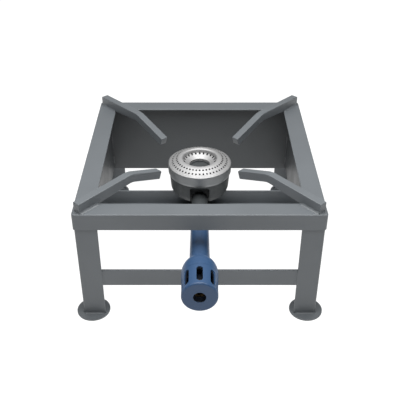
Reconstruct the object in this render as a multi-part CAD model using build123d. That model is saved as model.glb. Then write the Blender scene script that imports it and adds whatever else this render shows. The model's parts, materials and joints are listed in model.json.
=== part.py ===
# Gas burner stand: a square steel frame on four angle legs, with a cast burner and its air mixer.
# Millimetres. The origin is on the floor under the burner's axis, +Z up, the mixer points to -Y.
from build123d import *
import os
from math import atan2, cos, radians, sin

os.makedirs("parts", exist_ok=True)

# ---------------------------------------------------------------- driving sizes
FRAME_SIDE = 403          # outside width and depth of the top frame
FRAME_TOP = 211           # top face of the frame above the floor
RAIL_WIDTH = 33.5         # top flange of a frame rail
FRONT_RAIL_WIDTH = 32     # the front rail has a narrower top flange
RAIL_DEPTH = 29           # outer flange of a frame rail
RAIL_SHEET = 2            # thickness of a frame rail
RAIL_EDGE = 1.8           # rounding of a rail's outer edges
FLANGE_EDGE = 1           # rounding along its flange's free edge
CORNER_ROUND = 5          # rounding of the frame's upright corners

LEG_WIDTH = 37            # each flange of a leg
LEG_SHEET = 2.5
ANGLE_EDGE = 0.6          # rounding of an angle's edges
ANGLE_HEEL = 3            # rounding of its outside corner
FOOT_RADIUS = 28.5
FOOT_THICKNESS = 3
FOOT_INSET_X = 17         # from the frame's outside to a foot's centre
FOOT_INSET_Y = 13.5

BAR_HEIGHT = 32           # lower bars between the legs
BAR_THICKNESS = 4
BAR_TOP = 95.6

GUARD_SHEET = 1.5         # wind guard
GUARD_INSIDE = 183        # from the burner's axis to a guard panel's inner face
GUARD_BOTTOM = 64
GUARD_FRONT = -40         # the side panels' front edge

SUPPORT_SIZE = 30         # both flanges of the angle that carries the burner
SUPPORT_SHEET = 3

ARM_WIDTH = 13.5          # pot arms
ARM_HEIGHT = 15
ARM_OUTER = (193, 195)    # outer end, from the burner's axis
ARM_HEADING = 48          # plan angle of an arm, degrees
ARM_LENGTH = {"front": 183, "rear": 190.5}
ARM_BEND = 115            # distance from the outer end to the bend
ARM_RISE_OUTER = 17.5     # top of the arm above the frame, at the outer end
ARM_RISE_BEND = 21        # at the bend
ARM_RISE_INNER = -3.5     # at the inner end

HEAD_RADIUS = 57.8        # burner head
HEAD_RIM = 187.6          # the head's outer edge above the floor
BOWL_TOP = 167.6          # joint between the burner bowl and the head
BOWL_BOTTOM = 127
BOWL_RADIUS = 55          # the bowl at its rim
BOWL_WALL = 4
POST_RADIUS = 20.5        # centre post of the bowl

GAS_AXIS = 132            # height of the gas inlet's axis
MIXER_FRONT = -304        # front face of the mixer
MIXER_RADIUS = 29.2       # at the back of its straight part
SLOT_PLACES = 8           # air slots round the mixer, the lowest place left closed
SLOT_LENGTH = 32
SLOT_WIDTH = 9.7
CAGE_SLOT_WIDTH = 11
TURN_GAP = 0.08           # radial clearance between the air shutter and its cage

HALF = FRAME_SIDE / 2
LEG_OUTSIDE = HALF - RAIL_SHEET
LEG_INSIDE = LEG_OUTSIDE - LEG_SHEET
UNDER_FLANGE = FRAME_TOP - RAIL_SHEET
FRONT_REAR = (("front", -1), ("rear", 1))
LEFT_RIGHT = (("left", -1), ("right", 1))


# ---------------------------------------------------------------- helpers
def block(x_low, x_high, y_low, y_high, z_low, z_high):
    """A box given by its limits along each axis."""
    solid = Box(x_high - x_low, y_high - y_low, z_high - z_low)
    return Pos((x_low + x_high) / 2, (y_low + y_high) / 2, (z_low + z_high) / 2) * solid


def rod(radius, z_low, z_high, x=0, y=0):
    """An upright cylinder."""
    return Pos(x, y, (z_low + z_high) / 2) * Cylinder(radius, z_high - z_low)


def hexagon(across_flats, z_low, z_high, x=0, y=0):
    """An upright hexagonal prism."""
    outline = RegularPolygon(across_flats / 2, 6, major_radius=False)
    return Pos(x, y, z_low) * extrude(outline, z_high - z_low)


def lathe(outline):
    """Turns a closed outline of (radius, height) points round +Z."""
    profile = Plane.XZ * make_face(Polyline(*outline, close=True))
    return revolve(profile, Axis.Z)


def lathe_lines(lines):
    """The same for a closed outline of lines and arcs."""
    edges = [edge for line in lines for edge in line.edges()]
    return revolve(Plane.XZ * make_face(edges), Axis.Z)


def angle_bar(width, sheet, length):
    """An upright angle, its outside corner on the Z axis, its flanges towards -X and -Y."""
    outline = make_face(Polyline(
        (0, 0), (-width, 0), (-width, -sheet), (-sheet, -sheet), (-sheet, -width), (0, -width), close=True))
    free_edges = outline.vertices().sort_by_distance((0, 0, 0))[2:]
    outline = fillet(free_edges, ANGLE_EDGE)
    heel = outline.vertices().sort_by_distance((0, 0, 0))[0]
    return extrude(fillet(heel, ANGLE_HEEL), length)


def along_gas_axis(shape, front=MIXER_FRONT):
    """Lays a shape that was made along +Z on the gas inlet's axis, its z = 0 at y = front."""
    return Pos(0, front, GAS_AXIS) * Rot(-90, 0, 0) * shape


def ring_of(shape, count):
    """Copies of a shape at equal angles round +Z."""
    return [Rot(0, 0, 360 * index / count) * shape for index in range(count)]


def save(name, *shapes):
    """Writes one sub-part, made of one or more separate solids."""
    solids = [solid for shape in shapes for solid in shape.solids()]
    result = solids[0] if len(solids) == 1 else Compound(children=solids)
    export_step(result, f"parts/{name}.step")


# ---------------------------------------------------------------- frame
def top_frame():
    """The whole top frame, before it is cut at the mitres."""
    outside = extrude(RectangleRounded(FRAME_SIDE, FRAME_SIDE, CORNER_ROUND), RAIL_DEPTH)
    outside = fillet(outside.faces().sort_by(Axis.Z)[-1].edges(), RAIL_EDGE)
    inner_side = FRAME_SIDE - 2 * RAIL_SHEET
    inside = extrude(RectangleRounded(inner_side, inner_side, CORNER_ROUND - RAIL_SHEET), RAIL_DEPTH - RAIL_SHEET)
    reach = HALF - RAIL_WIDTH
    opening = block(-reach, reach, FRONT_RAIL_WIDTH - HALF, reach, 0, RAIL_DEPTH)
    frame = outside - inside - opening
    upper_edges = frame.faces().sort_by(Axis.Z)[-1].inner_wires()[0].edges()
    return Pos(0, 0, FRAME_TOP - RAIL_DEPTH) * fillet(upper_edges, FLANGE_EDGE)


def rail(whole_frame, turn):
    """One mitred rail: the quarter of the frame that faces -Y, or that quarter turned."""
    reach = FRAME_SIDE
    quarter = make_face(Polyline((0, 0), (-reach, -reach), (reach, -reach), close=True))
    wedge = Rot(0, 0, turn) * extrude(quarter, FRAME_TOP + RAIL_DEPTH)
    return whole_frame & wedge


def leg(side_x, side_y):
    """An upright angle, its corner outwards, under the frame's flanges."""
    length = UNDER_FLANGE - FOOT_THICKNESS
    angle = Pos(LEG_OUTSIDE, LEG_OUTSIDE, FOOT_THICKNESS) * angle_bar(LEG_WIDTH, LEG_SHEET, length)
    if side_x < 0:
        angle = angle.mirror(Plane.YZ)
    if side_y < 0:
        angle = angle.mirror(Plane.XZ)
    return angle


def foot(side_x, side_y):
    """A round plate welded under a leg."""
    plate = rod(FOOT_RADIUS, 0, FOOT_THICKNESS)
    plate = fillet(plate.edges().filter_by(GeomType.CIRCLE), 0.5)
    return Pos(side_x * (HALF - FOOT_INSET_X), side_y * (HALF - FOOT_INSET_Y), 0) * plate


def lower_bar(direction, side):
    """A flat bar behind the legs' flanges. The bars at the sides stop at the other two."""
    near, far = LEG_INSIDE - BAR_THICKNESS, LEG_INSIDE
    across = (near, far) if side > 0 else (-far, -near)
    reach = LEG_INSIDE if direction == "x" else near
    along = (-reach, reach)
    x_range, y_range = (along, across) if direction == "x" else (across, along)
    bar = block(*x_range, *y_range, BAR_TOP - BAR_HEIGHT, BAR_TOP)
    long_edges = bar.edges().filter_by(Axis.X if direction == "x" else Axis.Y)
    return fillet(long_edges, 0.7)


def rear_guard():
    outer = GUARD_INSIDE + GUARD_SHEET
    return block(-outer, outer, GUARD_INSIDE, outer, GUARD_BOTTOM, UNDER_FLANGE)


def side_guard(side):
    """A side panel, its lower front corner cut away round the burner's support."""
    outer = GUARD_INSIDE + GUARD_SHEET
    panel = block(GUARD_INSIDE, outer, GUARD_FRONT, GUARD_INSIDE, GUARD_BOTTOM, UNDER_FLANGE)
    support_top = BAR_TOP + SUPPORT_SIZE
    notch = block(GUARD_INSIDE - 1, outer + 1, GUARD_FRONT - 1, SUPPORT_SHEET, 0, support_top + 1)
    panel = panel - notch
    return panel if side > 0 else panel.mirror(Plane.YZ)


def support_bar():
    """The angle under the burner: one flange upright on the axis, one flat and pointing forward."""
    angle = Rot(0, 90, 0) * angle_bar(SUPPORT_SIZE, SUPPORT_SHEET, 2 * LEG_INSIDE)
    bar = Pos(-LEG_INSIDE, SUPPORT_SHEET / 2, BAR_TOP) * angle
    for x in (-BOSS_X, BOSS_X):
        bar -= rod(BOLT_RADIUS + 0.3, BAR_TOP - 1, BAR_TOP + SUPPORT_SHEET + 1, x, BOSS_Y)
    return bar


def pot_arm(side_x, side_y, length):
    """A square bar from a corner of the frame towards the burner, bent down at its inner part."""
    seat = RAIL_WIDTH / cos(radians(90 - ARM_HEADING)) - 6
    slope = atan2(ARM_RISE_BEND - ARM_RISE_INNER, length - ARM_BEND)
    end_back = ARM_HEIGHT * sin(slope)
    side_view = Polyline(
        (0, 0),
        (seat, 0),
        (ARM_BEND - 1, ARM_RISE_BEND - ARM_HEIGHT),
        (length - end_back, ARM_RISE_INNER - ARM_HEIGHT * cos(slope)),
        (length, ARM_RISE_INNER),
        (ARM_BEND, ARM_RISE_BEND),
        (0, ARM_RISE_OUTER),
        close=True,
    )
    outline = make_face(side_view)
    corners = outline.vertices()
    top_bend = corners.sort_by_distance((ARM_BEND, ARM_RISE_BEND, 0))[0]
    outline = fillet(top_bend, 45)
    under_bend = outline.vertices().sort_by_distance((ARM_BEND - 1, ARM_RISE_BEND - ARM_HEIGHT, 0))[0]
    outline = fillet(under_bend, 30)
    tips = [(length, ARM_RISE_INNER, 0), (0, ARM_RISE_OUTER, 0)]
    tips.append((length - end_back, ARM_RISE_INNER - ARM_HEIGHT * cos(slope), 0))
    for tip in tips:
        outline = fillet(outline.vertices().sort_by_distance(tip)[0], 2.2)
    bar = extrude(Plane.XZ * outline, ARM_WIDTH / 2, both=True)
    for face in (bar.faces().sort_by(Axis.Y)[0], bar.faces().sort_by(Axis.Y)[-1]):
        upper = [edge for edge in face.edges() if edge.center().Z > ARM_RISE_INNER - ARM_HEIGHT + 3]
        upper = [edge for edge in upper if not (edge.center().Z < 0.5 and edge.center().X < seat)]
        bar = fillet([bar.edges().sort_by_distance(edge.center())[0] for edge in upper], 0.9)
    arm = Pos(-ARM_OUTER[0], -ARM_OUTER[1], FRAME_TOP) * Rot(0, 0, ARM_HEADING) * bar
    if side_x > 0:
        arm = arm.mirror(Plane.YZ)
    if side_y > 0:
        arm = arm.mirror(Plane.XZ)
    return arm


# ---------------------------------------------------------------- burner
BOSS_X = 9                # the two bosses that stand on the support, side by side under the inlet tube
BOSS_Y = -12.5
BOSS_RADIUS = 6.5
BOLT_RADIUS = 3
INLET_RADIUS = 14.5       # outside of the burner's inlet tube
INLET_BORE = 10.5
INLET_END = -92           # where the mixing tube meets it
SPIGOT_RADIUS = 12.4
SPIGOT_LENGTH = 20
RECESS_WIDTH = 35         # recess in the bowl round the inlet tube
RECESS_BACK = -36
RECESS_TOP = BOWL_TOP - 3
LIP_OUTSIDE = 50.2        # the head's lip inside the bowl's rim
LIP_INSIDE = 48
LIP_DROP = 1.2


def bowl_shape(wall):
    """The bowl's outside, or with a wall given, the hollow inside it."""
    bottom = BOWL_BOTTOM + wall
    outline = make_face(Polyline(
        (0, bottom),
        (BOWL_RADIUS - 3.5 - wall, bottom),
        (BOWL_RADIUS - wall, BOWL_TOP),
        (0, BOWL_TOP),
        close=True,
    ))
    turn = outline.vertices().sort_by_distance((BOWL_RADIUS - 3.5 - wall, bottom, 0))[0]
    return revolve(Plane.XZ * fillet(turn, 17.5 - wall), Axis.Z)


def inlet_recess():
    """The room round the inlet tube, open to the front and downwards."""
    half = RECESS_WIDTH / 2
    room = block(-half, half, -80, RECESS_BACK, 0, RECESS_TOP)
    return fillet(room.edges().filter_by(Axis.Y).sort_by(Axis.Z)[-2:], 6)


def burner_body():
    """The cast bowl with its centre post, two bosses and the inlet tube."""
    half = RECESS_WIDTH / 2 + BOWL_WALL
    gas_room = bowl_shape(BOWL_WALL) - block(-half, half, -80, RECESS_BACK + BOWL_WALL, 0, BOWL_TOP + 1)
    lip_groove = rod(LIP_OUTSIDE + 0.1, BOWL_TOP - LIP_DROP - 0.1, BOWL_TOP + 1)
    lip_groove -= rod(LIP_INSIDE - 0.1, 0, BOWL_TOP + 1)
    body = bowl_shape(0) - inlet_recess() - gas_room - lip_groove
    post_top = THROAT_BOTTOM - 0.2
    body += rod(POST_RADIUS, BOWL_BOTTOM + 1, post_top)
    for x in (-BOSS_X, BOSS_X):
        body += rod(BOSS_RADIUS, BAR_TOP + SUPPORT_SHEET, BOWL_BOTTOM + 2, x, BOSS_Y)
    body += along_gas_axis(rod(INLET_RADIUS, 0, -6 - INLET_END), INLET_END)
    body += along_gas_axis(rod(SPIGOT_RADIUS, -SPIGOT_LENGTH, 1), INLET_END)
    body -= along_gas_axis(rod(INLET_BORE, -SPIGOT_LENGTH - 1, -14 - INLET_END), INLET_END)
    body -= block(-9, 9, RECESS_BACK + BOWL_WALL + 1, -POST_RADIUS - 1, GAS_AXIS, BOWL_BOTTOM + 22)
    body -= rod(POST_RADIUS - 4, post_top - 1.5, post_top + 1)
    for x in (-BOSS_X, BOSS_X):
        body -= rod(BOLT_RADIUS + 0.05, BAR_TOP, BOWL_BOTTOM - 5.5, x, BOSS_Y)
    return body


PLATE_SEAT = HEAD_RIM - 2
PLATE_RADIUS = HEAD_RADIUS - 1.3
THROAT_RADIUS = 18.7
THROAT_BOTTOM = 180.5
CREST_RADIUS = 33
CREST_TOP = HEAD_RIM + 10.2
PORT_RINGS = ((49.3, 48, 1.3), (41.8, 44, 1.3), (28, 24, 1.25))  # ring radius, count, hole radius


def head_ring():
    """The band under the perforated plate. Its lip drops inside the bowl's rim, the plate lies in its top."""
    return lathe([
        (LIP_OUTSIDE, BOWL_TOP - LIP_DROP),
        (LIP_OUTSIDE, BOWL_TOP),
        (BOWL_RADIUS, BOWL_TOP),
        (HEAD_RADIUS - 0.6, BOWL_TOP + 4.9),
        (HEAD_RADIUS, HEAD_RIM - 1),
        (HEAD_RADIUS - 0.4, HEAD_RIM - 0.3),
        (PLATE_RADIUS + 0.1, HEAD_RIM - 0.3),
        (PLATE_RADIUS + 0.1, PLATE_SEAT),
        (52.3, PLATE_SEAT),
        (51.8, BOWL_TOP + 5),
        (LIP_INSIDE, BOWL_TOP + 1.5),
        (LIP_INSIDE, BOWL_TOP - LIP_DROP),
    ])


def port_plate():
    """The perforated plate: a cone with two fine steps, a round crest, and a funnel down to the throat."""
    def at(radius, rise):
        return radius, HEAD_RIM + rise

    outline = [
        Polyline((PLATE_RADIUS, PLATE_SEAT), at(PLATE_RADIUS, 0), at(PLATE_RADIUS - 0.3, 0.3), at(54.6, 1.1),
                 at(54.2, 1.6), at(51.7, 2.7), at(51.3, 3.2), at(41.5, 8)),
        ThreePointArc(at(41.5, 8), at(37.2, 9.7), (CREST_RADIUS, CREST_TOP)),
        ThreePointArc((CREST_RADIUS, CREST_TOP), at(30.9, 8.7), at(30.1, 5.8)),
        Polyline(at(30.1, 5.8), at(29.2, 2.8), at(THROAT_RADIUS, -3.6), (THROAT_RADIUS, THROAT_BOTTOM),
                 (THROAT_RADIUS + 1.7, THROAT_BOTTOM), at(THROAT_RADIUS + 1.7, -4.6), at(30.2, 1.4), at(31.6, 4.8)),
        ThreePointArc(at(31.6, 4.8), at(32.1, 7.2), at(CREST_RADIUS + 0.6, 8.3)),
        ThreePointArc(at(CREST_RADIUS + 0.6, 8.3), at(37, 7.8), at(41, 6.2)),
        Polyline(at(41, 6.2), at(50, 1.7), at(52.4, 0), (52.4, PLATE_SEAT), (PLATE_RADIUS, PLATE_SEAT)),
    ]
    plate = lathe_lines(outline)
    for ring_radius, count, hole_radius in PORT_RINGS:
        hole = rod(hole_radius, THROAT_BOTTOM, CREST_TOP + 2, ring_radius)
        if ring_radius < CREST_RADIUS:
            hole = Pos(ring_radius, 0, HEAD_RIM + 1.9) * Rot(0, -32, 0) * Cylinder(hole_radius, 7)
        plate -= ring_of(hole, count)
    return plate


def burner_bolt(x):
    """A hexagon bolt from below, through its washer and the support, into a boss."""
    washer_bottom = BAR_TOP - 1.6
    head = hexagon(10, washer_bottom - 4, washer_bottom, x, BOSS_Y)
    return head + rod(BOLT_RADIUS, washer_bottom - 1, BOWL_BOTTOM - 7, x, BOSS_Y)


def burner_washer(x):
    return rod(6, BAR_TOP - 1.6, BAR_TOP, x, BOSS_Y) - rod(BOLT_RADIUS + 0.2, 0, BAR_TOP + 1, x, BOSS_Y)


# ---------------------------------------------------------------- mixer, made along +Z from its front face
CUP_FRONT_RADIUS = 28.2   # the cup widens a little from its front face to its back
CUP_BACK_RADIUS = 29
CUP_BORE = 26.4
CUP_END = 2.5
CUP_LENGTH = 46
CUP_HOLE = 10
SLOT_START = 7.5          # from the front face to the slots
DOME_START = 55
DOME_END = 83
NECK_FRONT = 16.6         # neck radius at the dome and at the inlet
NECK_BACK = 14.9
CAGE_OUTSIDE = CUP_BORE - TURN_GAP
CAGE_INSIDE = 23.4
TUBE_END = INLET_END - MIXER_FRONT
SCREW_PLACE = CUP_LENGTH - 3.5
SPIDER_BACK = CUP_LENGTH - 2
HUB_FRONT = CUP_LENGTH - 14
HOLDER_THREAD = 6
INLET_THREAD = 5.9        # tapping size of a G 1/4 thread
HOLDER_FRONT = 12         # from the front face back to the gas inlet's mouth


def air_slots(width):
    """The cutters for the air slots: one at the top, none at the lowest place."""
    middle = SLOT_START + SLOT_LENGTH / 2
    facing_out = Plane(origin=(0, 0, middle), x_dir=(0, 0, 1), z_dir=(1, 0, 0))
    cutter = extrude(facing_out * SlotOverall(SLOT_LENGTH, width), MIXER_RADIUS + 2)
    inner_part = rod(MIXER_RADIUS - 8, 0, DOME_START)
    slots = ring_of(cutter - inner_part, SLOT_PLACES)
    del slots[SLOT_PLACES // 4]
    return slots


def air_shutter():
    """The slotted cup that turns on the cage."""
    outside = lathe([(0, 0), (CUP_FRONT_RADIUS, 0), (CUP_BACK_RADIUS, CUP_LENGTH), (0, CUP_LENGTH)])
    outside = fillet(outside.edges().filter_by(GeomType.CIRCLE).sort_by(Axis.Z)[0], 3)
    cup = outside - rod(CUP_BORE, CUP_END, CUP_LENGTH + 1) - rod(CUP_HOLE, -1, CUP_END + 1)
    cup -= air_slots(SLOT_WIDTH)
    lock_hole = Pos(0, CUP_BACK_RADIUS, SCREW_PLACE) * Rot(90, 0, 0) * Cylinder(2.05, 10)
    return cup - lock_hole


def lock_screw():
    """A small screw under the cup that holds its setting."""
    shank = rod(2, CAGE_OUTSIDE + TURN_GAP, CUP_BACK_RADIUS + 1)
    head = fillet(rod(3.4, CUP_BACK_RADIUS, CUP_BACK_RADIUS + 2.6).edges().sort_by(Axis.Z)[-1], 0.8)
    slot = block(-4, 4, -0.5, 0.5, CUP_BACK_RADIUS + 1.7, CUP_BACK_RADIUS + 3)
    return Pos(0, 0, SCREW_PLACE) * Rot(-90, 0, 0) * (shank + head - slot)


def mixing_tube():
    """One casting: the slotted cage, the spider for the gas jet, the dome and the long neck."""
    back = CUP_LENGTH + 0.3
    spigot_end = TUBE_END - SPIGOT_LENGTH - 1
    outline = [
        Polyline((CAGE_INSIDE, DOME_START), (CAGE_INSIDE, CUP_END + 0.4), (CAGE_OUTSIDE, CUP_END + 0.4),
                 (CAGE_OUTSIDE, back), (CUP_BACK_RADIUS, back), (MIXER_RADIUS, DOME_START)),
        ThreePointArc((MIXER_RADIUS, DOME_START), (25.8, 70), (NECK_FRONT, DOME_END)),
        Polyline((NECK_FRONT, DOME_END), (NECK_BACK, TUBE_END), (SPIGOT_RADIUS + 0.05, TUBE_END),
                 (SPIGOT_RADIUS + 0.05, spigot_end), (INLET_BORE, spigot_end), (9, DOME_END + 20),
                 (11, DOME_END - 2.5)),
        ThreePointArc((11, DOME_END - 2.5), (21, 68.5), (CAGE_INSIDE, DOME_START)),
    ]
    tube = lathe_lines(outline)
    tube -= air_slots(CAGE_SLOT_WIDTH)
    hub = rod(10, HUB_FRONT, SPIDER_BACK + 2)
    arms = [Rot(0, 0, 22.5 + 90 * turn) * block(0, CAGE_OUTSIDE - 1, -2.5, 2.5, SPIDER_BACK - 5, SPIDER_BACK)
            for turn in range(4)]
    tube = tube + hub + arms
    tube -= rod(HOLDER_THREAD + 0.05, 0, SPIDER_BACK + 4)
    set_hole = Pos(0, NECK_BACK, TUBE_END - 10) * Rot(90, 0, 0) * Cylinder(BOLT_RADIUS + 0.05, 12)
    return tube - set_hole


def tube_screw():
    """A hexagon screw under the neck that clamps it to the burner's inlet."""
    screw = rod(BOLT_RADIUS, SPIGOT_RADIUS + 0.02, NECK_BACK + 3) + hexagon(10, NECK_BACK + 1, NECK_BACK + 5)
    return Pos(0, 0, TUBE_END - 10) * Rot(-90, 0, 0) * screw


def nozzle_holder():
    """The brass fitting that takes the gas hose and holds the jet."""
    body = hexagon(17, HOLDER_FRONT, HUB_FRONT) + rod(HOLDER_THREAD, HUB_FRONT - 1, SPIDER_BACK + 5)
    body -= rod(INLET_THREAD, HOLDER_FRONT - 1, HOLDER_FRONT + 12)
    body -= rod(2.5, HOLDER_FRONT, SPIDER_BACK + 6)
    return body - rod(3.55, SPIDER_BACK - 1, SPIDER_BACK + 6)


def gas_jet():
    """The brass jet that blows into the neck."""
    front = SPIDER_BACK + 5
    jet = rod(3.5, front - 5, front) + hexagon(8, front, front + 3)
    jet += Pos(0, 0, front + 5.5) * Cone(3.4, 1.6, 5)
    return jet - rod(1.6, front - 6, front + 6) - rod(0.6, front, front + 9)


# ---------------------------------------------------------------- build every sub-part
whole_frame = top_frame()
for name, turn in (("front", 0), ("right", 90), ("rear", 180), ("left", 270)):
    save(f"{name}_rail", rail(whole_frame, turn))

for place_y, side_y in FRONT_REAR:
    save(f"{place_y}_lower_bar", lower_bar("x", side_y))
    for place_x, side_x in LEFT_RIGHT:
        save(f"leg_{place_y}_{place_x}", leg(side_x, side_y))
        save(f"foot_{place_y}_{place_x}", foot(side_x, side_y))
        save(f"pot_arm_{place_y}_{place_x}", pot_arm(side_x, side_y, ARM_LENGTH[place_y]))

for place_x, side_x in LEFT_RIGHT:
    save(f"{place_x}_lower_bar", lower_bar("y", side_x))
    save(f"{place_x}_wind_guard", side_guard(side_x))

save("rear_wind_guard", rear_guard())
save("burner_support_bar", support_bar())
save("burner_body", burner_body())
save("burner_head_ring", head_ring())
save("burner_port_plate", port_plate())
save("burner_bolts", *[burner_bolt(x) for x in (-BOSS_X, BOSS_X)])
save("burner_bolt_washers", *[burner_washer(x) for x in (-BOSS_X, BOSS_X)])
save("mixing_tube", along_gas_axis(mixing_tube()))
save("mixing_tube_screw", along_gas_axis(tube_screw()))
save("air_shutter", along_gas_axis(air_shutter()))
save("air_shutter_lock_screw", along_gas_axis(lock_screw()))
save("nozzle_holder", along_gas_axis(nozzle_holder()))
save("gas_jet", along_gas_axis(gas_jet()))
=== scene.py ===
import json
from math import cos, pi, radians, sin

import bmesh
import bpy
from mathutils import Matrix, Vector


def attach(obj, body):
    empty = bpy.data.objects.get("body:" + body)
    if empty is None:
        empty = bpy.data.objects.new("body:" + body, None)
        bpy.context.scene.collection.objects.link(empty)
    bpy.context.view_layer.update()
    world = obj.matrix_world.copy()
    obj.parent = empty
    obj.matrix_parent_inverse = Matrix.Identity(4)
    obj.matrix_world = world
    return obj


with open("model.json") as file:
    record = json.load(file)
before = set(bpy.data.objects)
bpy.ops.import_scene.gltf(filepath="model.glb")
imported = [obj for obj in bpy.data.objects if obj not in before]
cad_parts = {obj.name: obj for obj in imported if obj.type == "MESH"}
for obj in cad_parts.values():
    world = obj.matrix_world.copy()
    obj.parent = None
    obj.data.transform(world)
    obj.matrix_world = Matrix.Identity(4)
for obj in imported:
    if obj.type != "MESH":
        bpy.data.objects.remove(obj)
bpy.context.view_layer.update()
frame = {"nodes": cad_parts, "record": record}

MM = 0.001

# ---------------------------------------------------------------- sizes of the stand, in millimetres
FRAME_TOP = 211
UNDER_FLANGE = 209        # underside of the top frame's flanges
OPENING = 168             # from the middle to the top frame's opening, at the sides and the rear
FRONT_OPENING = 169.5     # and at the front
ARM_END_X, ARM_END_Y = 193, 195     # outer end of a pot arm
ARM_ANGLE = 48            # degrees between a pot arm and the X axis
ARM_HALF_WIDTH = 6.75
LEG_OUTER, LEG_INNER = 199.5, 197   # outer and inner faces of the legs
LEG_EDGE = 162.5          # free edges of the legs
LEG_WELD_START = 165.5    # where the beads on the foot plates start
RAIL_WELD_BOTTOM, RAIL_WELD_TOP = 183, 207
FOOT_TOP = 3
BAR_INNER = 193           # inner faces of the lower bars
BAR_BOTTOM, BAR_TOP = 63.6, 95.6
SUPPORT_FRONT = -26       # front end of the beads that hold the burner's support
GUARD_INNER, GUARD_OUTER = 183, 184.5
GAS_AXIS = 132            # height of the mixer's axis
MIXER_WALL = 26.5         # painted shade: the mixer's walls are darkened inside this radius
MIXER_FRONT, MIXER_BACK = -303.5, -250      # and between these places along Y
PORT_RINGS = ((49.3, 48, 1.8), (41.8, 44, 1.8), (28, 24, 1.9))      # ring radius, ports, radius of the painted shade round each port
PORT_SHADE_EDGE = 0.4           # width of the painted shade's soft edge
THREAD_FRONT = -291.2     # where the inlet's thread starts along Y
THREAD_PITCH = 1.337
THREAD_TURNS = 8
THREAD_STEPS = 48         # steps in a turn
THREAD_PROFILE = ((6.0, -0.5), (5.45, 0), (6.0, 0.5))       # radius, shift along the axis


# ---------------------------------------------------------------- camera, light and floor
CAMERA_PLACE = (0.0, -1.0677, 0.8204)
CAMERA_TILT = 56.156      # degrees from looking straight down
CAMERA_LENS = 61.16
CAMERA_SENSOR = 36
CAMERA_SHIFT = 0.0008
WORLD_STRENGTH = 0.08
FLOOR_SIZE = 6            # half of its side
FLOOR_GLOW = 6.3          # the floor is lit from within, so the stand's shadow on it stays faint


def set_camera():
    data = bpy.data.cameras.new("camera")
    data.lens = CAMERA_LENS
    data.sensor_width = CAMERA_SENSOR
    data.shift_x = CAMERA_SHIFT
    camera = bpy.data.objects.new("camera", data)
    camera.location = CAMERA_PLACE
    camera.rotation_euler = (radians(CAMERA_TILT), 0, 0)
    bpy.context.collection.objects.link(camera)
    bpy.context.scene.camera = camera


def soft_box(name, place, target, size, power):
    data = bpy.data.lights.new(name, "AREA")
    data.shape = "RECTANGLE"
    data.size, data.size_y = size
    data.energy = power
    light = bpy.data.objects.new(name, data)
    light.location = place
    light.rotation_euler = (Vector(target) - Vector(place)).to_track_quat("-Z", "Y").to_euler()
    bpy.context.collection.objects.link(light)


def set_world():
    world = bpy.data.worlds.new("studio")
    world.use_nodes = True
    background = world.node_tree.nodes["Background"]
    background.inputs["Color"].default_value = (1, 1, 1, 1)
    background.inputs["Strength"].default_value = WORLD_STRENGTH
    bpy.context.scene.world = world


# ---------------------------------------------------------------- shader nodes
NOISE_LOW, NOISE_HIGH = 0.3, 0.7    # nearly all of a noise texture's values lie between these


def link(tree, source, output, target, socket):
    tree.links.new(source.outputs[output], target.inputs[socket])


def new_node(tree, kind, **values):
    node = tree.nodes.new(kind)
    for socket, value in values.items():
        node.inputs[socket.replace("_", " ")].default_value = value
    return node


def calculate(tree, operation, *values):
    """A math node whose inputs are numbers or (node, output) pairs. Returns such a pair."""
    node = tree.nodes.new("ShaderNodeMath")
    node.operation = operation
    for socket, value in zip(node.inputs, values):
        if isinstance(value, tuple):
            source, output = value
            tree.links.new(source.outputs[output], socket)
        else:
            socket.default_value = value
    return node, "Value"


def object_place(tree):
    """The place on the object, in its own metres, split in X, Y and Z."""
    place = tree.nodes.new("ShaderNodeTexCoord")
    parts = tree.nodes.new("ShaderNodeSeparateXYZ")
    link(tree, place, "Object", parts, "Vector")
    return parts


def length_of(tree, sides):
    """The length of the vector that two (node, output) pairs make."""
    squares = [calculate(tree, "MULTIPLY", side, side) for side in sides]
    return calculate(tree, "SQRT", calculate(tree, "ADD", *squares))


def noise(tree, scale, detail=3.0, roughness=0.5):
    """A noise texture in the object's own metres."""
    place = tree.nodes.new("ShaderNodeTexCoord")
    texture = new_node(tree, "ShaderNodeTexNoise", Scale=scale, Detail=detail, Roughness=roughness)
    link(tree, place, "Object", texture, "Vector")
    return texture


def two_tone(tree, texture, low, high):
    """A colour that drifts with a noise texture, from low to high."""
    ramp = tree.nodes.new("ShaderNodeValToRGB")
    for end, position, colour in zip(ramp.color_ramp.elements, (NOISE_LOW, NOISE_HIGH), (low, high)):
        end.position = position
        end.color = (*colour, 1)
    link(tree, texture, "Fac", ramp, "Fac")
    return ramp


def shaded(colour, share):
    return [channel * share for channel in colour]


def set_roughness(tree, shader, texture, low, high):
    spread = new_node(tree, "ShaderNodeMapRange", From_Min=NOISE_LOW, From_Max=NOISE_HIGH,
                      To_Min=low, To_Max=high)
    link(tree, texture, "Fac", spread, "Value")
    link(tree, spread, "Result", shader, "Roughness")


def set_bump(tree, shader, texture, height):
    bump = new_node(tree, "ShaderNodeBump", Strength=1.0, Distance=height)
    link(tree, texture, "Fac", bump, "Height")
    link(tree, bump, "Normal", shader, "Normal")


def cover(tree, shader, share, base, colour):
    """Puts a colour over the base colour, as far as the share, a (node, output) pair, says."""
    mix = tree.nodes.new("ShaderNodeMixRGB")
    mix.inputs["Color2"].default_value = (*colour, 1)
    link(tree, *share, mix, "Fac")
    link(tree, base, "Color", mix, "Color1")
    link(tree, mix, "Color", shader, "Base Color")


def start_material(name):
    material = bpy.data.materials.new(name)
    material.use_nodes = True
    return material, material.node_tree, material.node_tree.nodes["Principled BSDF"]


# ---------------------------------------------------------------- finishes
ORANGE_PEEL = 0.00003
METAL_GRAIN = 0.00001
CAST_GRAIN = 0.00012
# painted shade for the walls inside the mixer
MIXER_PAINTED_SHADE = (0.014, 0.019, 0.030)
# painted shade round the burner plate's ports
PORT_SHADE_COLOUR = (0.02, 0.02, 0.02)


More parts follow.
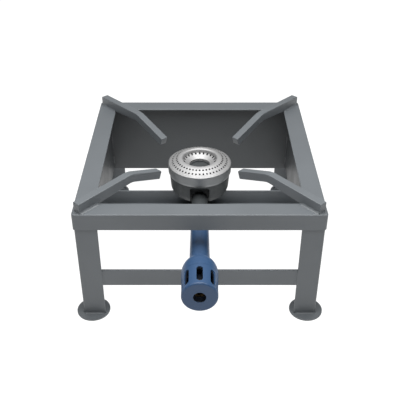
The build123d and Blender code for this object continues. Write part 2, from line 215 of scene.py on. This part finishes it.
def painted(name, colour, variation=0.05, rough=(0.40, 0.50), gloss=0.5):
    """Satin paint: slightly uneven colour, orange peel and patches of higher gloss."""
    material, tree, shader = start_material(name)
    shader.inputs["Specular IOR Level"].default_value = gloss
    ramp = two_tone(tree, noise(tree, 9, 4), shaded(colour, 1 - variation), shaded(colour, 1 + variation))
    link(tree, ramp, "Color", shader, "Base Color")
    set_roughness(tree, shader, noise(tree, 30, 3), *rough)
    set_bump(tree, shader, noise(tree, 700, 2), ORANGE_PEEL)
    return material


def blue_paint_and_painted_shade(name, colour):
    """Blue paint outside, and painted shade: a dark colour on the walls inside the mixer, where shade
    falls.
    """
    material = painted(name, colour, 0.08, (0.36, 0.46), gloss=0.4)
    tree = material.node_tree
    shader = tree.nodes["Principled BSDF"]
    paint = shader.inputs["Base Color"].links[0].from_node
    parts = object_place(tree)
    above_axis = calculate(tree, "SUBTRACT", (parts, "Z"), GAS_AXIS * MM)
    radius = length_of(tree, ((parts, "X"), above_axis))
    inside_shaded_radius = calculate(tree, "LESS_THAN", radius, MIXER_WALL * MM)
    behind_face = calculate(tree, "GREATER_THAN", (parts, "Y"), MIXER_FRONT * MM)
    before_dome = calculate(tree, "LESS_THAN", (parts, "Y"), MIXER_BACK * MM)
    along = calculate(tree, "MULTIPLY", behind_face, before_dome)
    # painted shade: the dark colour covers the walls inside the mixer
    cover(tree, shader, calculate(tree, "MULTIPLY", inside_shaded_radius, along), paint, MIXER_PAINTED_SHADE)
    return material


def cast(name, colour):
    """Rough sand-cast iron."""
    material, tree, shader = start_material(name)
    ramp = two_tone(tree, noise(tree, 40, 5), shaded(colour, 0.8), shaded(colour, 1.2))
    link(tree, ramp, "Color", shader, "Base Color")
    shader.inputs["Metallic"].default_value = 0.2
    set_roughness(tree, shader, noise(tree, 120, 3), 0.5, 0.68)
    set_bump(tree, shader, noise(tree, 900, 4, 0.65), CAST_GRAIN)
    return material


def metal(name, colour, rough):
    """Bare metal with fine grain."""
    material, tree, shader = start_material(name)
    ramp = two_tone(tree, noise(tree, 25, 3), shaded(colour, 0.94), colour)
    link(tree, ramp, "Color", shader, "Base Color")
    shader.inputs["Metallic"].default_value = 1.0
    set_roughness(tree, shader, noise(tree, 90, 3), rough - 0.04, rough + 0.05)
    set_bump(tree, shader, noise(tree, 2500, 2), METAL_GRAIN)
    return material


def turning_marks(tree, shader, scale):
    """Fine marks round the upright axis: noise read in (radius, height) only."""
    parts = object_place(tree)
    radius = length_of(tree, ((parts, "X"), (parts, "Y")))
    profile = tree.nodes.new("ShaderNodeCombineXYZ")
    link(tree, *radius, profile, "X")
    link(tree, parts, "Z", profile, "Y")
    texture = new_node(tree, "ShaderNodeTexNoise", Scale=scale, Detail=2.0)
    link(tree, profile, "Vector", texture, "Vector")
    set_bump(tree, shader, texture, METAL_GRAIN)


def turned(name, colour):
    """Grey metal turned on a lathe."""
    material, tree, shader = start_material(name)
    ramp = two_tone(tree, noise(tree, 25, 3), shaded(colour, 0.93), colour)
    link(tree, ramp, "Color", shader, "Base Color")
    shader.inputs["Metallic"].default_value = 1.0
    set_roughness(tree, shader, noise(tree, 90, 3), 0.46, 0.55)
    turning_marks(tree, shader, 2600)
    return material


def port_shade_mask(tree):
    """Painted shade: 1 at each port of the plate, fading to 0 just round it, found from radius and angle.
    """
    parts = object_place(tree)
    radius = length_of(tree, ((parts, "X"), (parts, "Y")))
    angle = calculate(tree, "ARCTAN2", (parts, "Y"), (parts, "X"))
    shade_mask = 0.0
    for ring, ports, reach in PORT_RINGS:
        half_step = pi / ports
        off = calculate(tree, "WRAP", angle, half_step, -half_step)
        along = calculate(tree, "MULTIPLY", off, ring * MM)
        across = calculate(tree, "SUBTRACT", radius, ring * MM)
        fade = new_node(tree, "ShaderNodeMapRange", From_Min=(reach - PORT_SHADE_EDGE) * MM, From_Max=reach * MM,
                        To_Min=1.0, To_Max=0.0)
        link(tree, *length_of(tree, (along, across)), fade, "Value")
        shade_mask = calculate(tree, "MAXIMUM", shade_mask, (fade, "Result"))
    return shade_mask


def pressed(name, colour):
    """Bright spun metal, with painted shade round its drilled ports."""
    material, tree, shader = start_material(name)
    bright = two_tone(tree, noise(tree, 25, 3), shaded(colour, 0.95), colour)
    shader.inputs["Metallic"].default_value = 0.8
    set_roughness(tree, shader, noise(tree, 90, 3), 0.58, 0.66)
    turning_marks(tree, shader, 1800)
    # painted shade: a dark colour round each port, where shade falls into the holes
    cover(tree, shader, port_shade_mask(tree), bright, PORT_SHADE_COLOUR)
    return material


FINISHES = {
    "grey_paint": painted("satin_grey_paint", (0.112, 0.123, 0.132)),
    # painted shade: the guards' grey is darkened to stand for the shade inside the box
    "guard_paint": painted("satin_guard_grey_darkened_as_shade", (0.038, 0.042, 0.045)),
    "blue_enamel": blue_paint_and_painted_shade("satin_blue_paint_shaded_inside", (0.030, 0.070, 0.150)),
    "cast_iron": cast("cast_iron_grey", (0.040, 0.045, 0.047)),
    "head_ring_steel": turned("turned_grey_metal", (0.25, 0.26, 0.265)),
    "port_plate_steel": pressed("bright_pressed_metal", (0.41, 0.41, 0.41)),
    # painted shade: the brass is darkened to stand for the shade deep inside the mixer
    "brass": metal("brass_darkened_as_shade", (0.15, 0.105, 0.05), 0.5),
    "zinc": metal("zinc_plate", (0.60, 0.61, 0.62), 0.38),
}


def finish_cad_nodes():
    slots = {part["node"]: part["material_slot"] for part in frame["record"]["subparts"]}
    for name, node in frame["nodes"].items():
        node.data.materials.clear()
        node.data.materials.append(FINISHES[slots[name]])


# ---------------------------------------------------------------- detail pieces, in millimetres
BEAD_PROFILE = ((1, 0), (0.75, 0.12), (0.51, 0.29), (0.29, 0.51), (0.12, 0.75), (0, 1))
BEAD_STEP = 0.7           # length of a bead's segments
BEAD_ROOT = 0.4           # how far a bead sinks into its two faces
BEAD_TOE = 1.1            # width at the faces, as a share of its size
BEAD_TIP = 0.45           # size at its two ends, as a share of its size
RIPPLE_LENGTH, RIPPLE_HEIGHT = 2.3, 0.07
WOBBLE_RATE, WOBBLE_HEIGHT = 0.37, 0.04
ARM_BEAD = 3.2
FOOT_BEAD = 2.6
BAR_BEAD = 2.4
FOOT_OUTER_BEAD = 2.2
LEG_BEAD = 2
GUARD_BEAD = 1.8
GUARD_CORNER_BEAD = 1.5
GUARD_BEAD_LENGTH = 18
UP = Vector((0, 0, 1))
DOWN = -UP


def close_tube(shape, rings):
    """Joins rings of vertices with faces into a tube with closed ends."""
    for ring, following in zip(rings, rings[1:]):
        for index in range(len(ring)):
            shape.faces.new((ring[index - 1], ring[index], following[index], following[index - 1]))
    shape.faces.new(rings[0])
    shape.faces.new(rings[-1])


def finish_piece(name, shape, body, slot):
    """Turns a mesh in millimetres into a piece that rides on a body and has a record slot's finish."""
    bmesh.ops.recalc_face_normals(shape, faces=shape.faces)
    bmesh.ops.scale(shape, vec=(MM, MM, MM), verts=shape.verts)
    mesh = bpy.data.meshes.new(name)
    shape.to_mesh(mesh)
    shape.free()
    mesh.shade_smooth()
    mesh.materials.append(FINISHES[slot])
    piece = bpy.data.objects.new(name, mesh)
    bpy.context.collection.objects.link(piece)
    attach(piece, body)


def add_bead(shape, start, end, side_a, side_b, size):
    """A weld bead in the corner between two faces: the sides point away from the corner along them."""
    start, end, side_a, side_b = Vector(start), Vector(end), Vector(side_a), Vector(side_b)
    run = end - start
    count = max(8, round(run.length / BEAD_STEP))
    rings = []
    for index in range(count + 1):
        along = index / count
        travelled = along * run.length
        from_end = min(travelled, run.length - travelled)
        ripple = 1 + RIPPLE_HEIGHT * abs(sin(pi * travelled / RIPPLE_LENGTH))
        ripple += WOBBLE_HEIGHT * sin(travelled * WOBBLE_RATE + size)
        reach = size * min(1, BEAD_TIP + from_end / size) * ripple
        centre = start + run * along
        ring = [centre - (side_a + side_b) * BEAD_ROOT,
                centre + side_a * reach * BEAD_TOE - side_b * BEAD_ROOT]
        ring += [centre + (side_a * a + side_b * b) * reach for a, b in BEAD_PROFILE]
        ring.append(centre + side_b * reach * BEAD_TOE - side_a * BEAD_ROOT)
        rings.append([shape.verts.new(place) for place in ring])
    close_tube(shape, rings)


def arm_welds():
    """The beads that hold the four pot arms on the frame, along their sides and across their outer ends."""
    shape = bmesh.new()
    for side_x in (-1, 1):
        for side_y, opening in ((-1, FRONT_OPENING), (1, OPENING)):
            inward = Vector((-side_x * cos(radians(ARM_ANGLE)), -side_y * sin(radians(ARM_ANGLE)), 0))
            across = Vector((-inward.y, inward.x, 0))
            end = Vector((side_x * ARM_END_X, side_y * ARM_END_Y, FRAME_TOP))
            for side in (across, -across):
                foot = end + side * ARM_HALF_WIDTH
                to_edge = max((abs(foot.x) - OPENING) / abs(inward.x),
                              (abs(foot.y) - opening) / abs(inward.y))
                add_bead(shape, foot + inward * 1.5, foot + inward * (to_edge - 1.2), side, UP, ARM_BEAD)
            add_bead(shape, end - across * 6, end + across * 6, -inward, UP, BAR_BEAD)
    finish_piece("pot_arm_welds", shape, "stand", "grey_paint")


def leg_welds():
    """The beads at the legs: on the foot plates, at the rails and beside the lower bars."""
    shape = bmesh.new()
    for side_x in (-1, 1):
        for side_y in (-1, 1):
            for swap in (False, True):
                def at(near, far, z):
                    x, y = (far, near) if swap else (near, far)
                    return side_x * x, side_y * y, z

                outward = Vector(at(1, 0, 0))
                inward = -outward
                back = Vector(at(0, -1, 0))
                for face, far_end, side, size in ((LEG_INNER, LEG_INNER - 1, inward, FOOT_BEAD),
                                                  (LEG_OUTER, LEG_OUTER - 1.5, outward, FOOT_OUTER_BEAD)):
                    start = at(face, LEG_WELD_START, FOOT_TOP)
                    add_bead(shape, start, at(face, far_end, FOOT_TOP), side, UP, size)
                for face, low, high, side in ((LEG_OUTER, RAIL_WELD_BOTTOM, RAIL_WELD_TOP, inward),
                                              (LEG_INNER, BAR_BOTTOM + 1, BAR_TOP - 1, outward)):
                    add_bead(shape, at(face, LEG_EDGE, low), at(face, LEG_EDGE, high), side, back, LEG_BEAD)
    finish_piece("leg_welds", shape, "stand", "grey_paint")


def support_welds():
    """The beads that hold the burner's support on the lower side bars, and the bars to each other."""
    shape = bmesh.new()
    for side in (-1, 1):
        inward = Vector((-side, 0, 0))
        end = side * BAR_INNER
        add_bead(shape, (end, SUPPORT_FRONT, BAR_TOP), (end, 0, BAR_TOP), inward, DOWN, BAR_BEAD)
        for side_y in (-1, 1):
            corner = (end, side_y * BAR_INNER)
            add_bead(shape, (*corner, BAR_BOTTOM + 2), (*corner, BAR_TOP - 2), inward,
                     (0, -side_y, 0), BAR_BEAD)
    finish_piece("support_welds", shape, "stand", "grey_paint")


def guard_welds():
    """Short beads under the top flanges, and down the guard's two corners."""
    shape = bmesh.new()
    half = GUARD_BEAD_LENGTH / 2
    for middle in (-140, -70, 0, 70, 140):
        start = (middle - half, GUARD_OUTER, UNDER_FLANGE)
        add_bead(shape, start, (middle + half, GUARD_OUTER, UNDER_FLANGE), (0, 1, 0), DOWN, GUARD_BEAD)
    for side in (-1, 1):
        face = side * GUARD_OUTER
        for middle in (-20, 50, 120):
            add_bead(shape, (face, middle - half, UNDER_FLANGE), (face, middle + half, UNDER_FLANGE),
                     (side, 0, 0), DOWN, GUARD_BEAD)
        corner = (side * GUARD_INNER, GUARD_INNER)
        for low in (75, 125, 175):
            add_bead(shape, (*corner, low), (*corner, low + GUARD_BEAD_LENGTH),
                     (-side, 0, 0), (0, -1, 0), GUARD_CORNER_BEAD)
    finish_piece("guard_welds", shape, "stand", "guard_paint")


def inlet_thread():
    """The thread in the gas inlet's mouth: a fine ridge that winds along the bore."""
    shape = bmesh.new()
    rings = []
    for index in range(THREAD_TURNS * THREAD_STEPS + 1):
        turn = 2 * pi * index / THREAD_STEPS
        front = THREAD_FRONT + THREAD_PITCH * index / THREAD_STEPS
        rings.append([
            shape.verts.new((radius * cos(turn), front + shift, GAS_AXIS + radius * sin(turn)))
            for radius, shift in THREAD_PROFILE
        ])
    close_tube(shape, rings)
    finish_piece("inlet_thread", shape, "stand", "brass")


# ---------------------------------------------------------------- floor
def set_floor():
    material, tree, shader = start_material("pale_floor")
    ramp = two_tone(tree, noise(tree, 1.5, 2), (0.15, 0.15, 0.15), (0.16, 0.16, 0.16))
    link(tree, ramp, "Color", shader, "Base Color")
    shader.inputs["Roughness"].default_value = 0.9
    link(tree, ramp, "Color", shader, "Emission Color")
    shader.inputs["Emission Strength"].default_value = FLOOR_GLOW
    mesh = bpy.data.meshes.new("floor")
    shape = bmesh.new()
    bmesh.ops.create_grid(shape, x_segments=1, y_segments=1, size=FLOOR_SIZE)
    shape.to_mesh(mesh)
    shape.free()
    floor = bpy.data.objects.new("floor", mesh)
    mesh.materials.append(material)
    bpy.context.collection.objects.link(floor)


finish_cad_nodes()
arm_welds()
leg_welds()
support_welds()
guard_welds()
inlet_thread()
set_floor()
set_camera()
soft_box("overhead", place=(0, -0.2, 1.15), target=(0, -0.1, 0.2), size=(1.2, 0.9), power=23)
soft_box("backdrop", place=(0, 1.6, 1.0), target=(0, 0, 0.1), size=(3, 1.6), power=5)
set_world()
bpy.context.scene.view_settings.view_transform = "Standard"
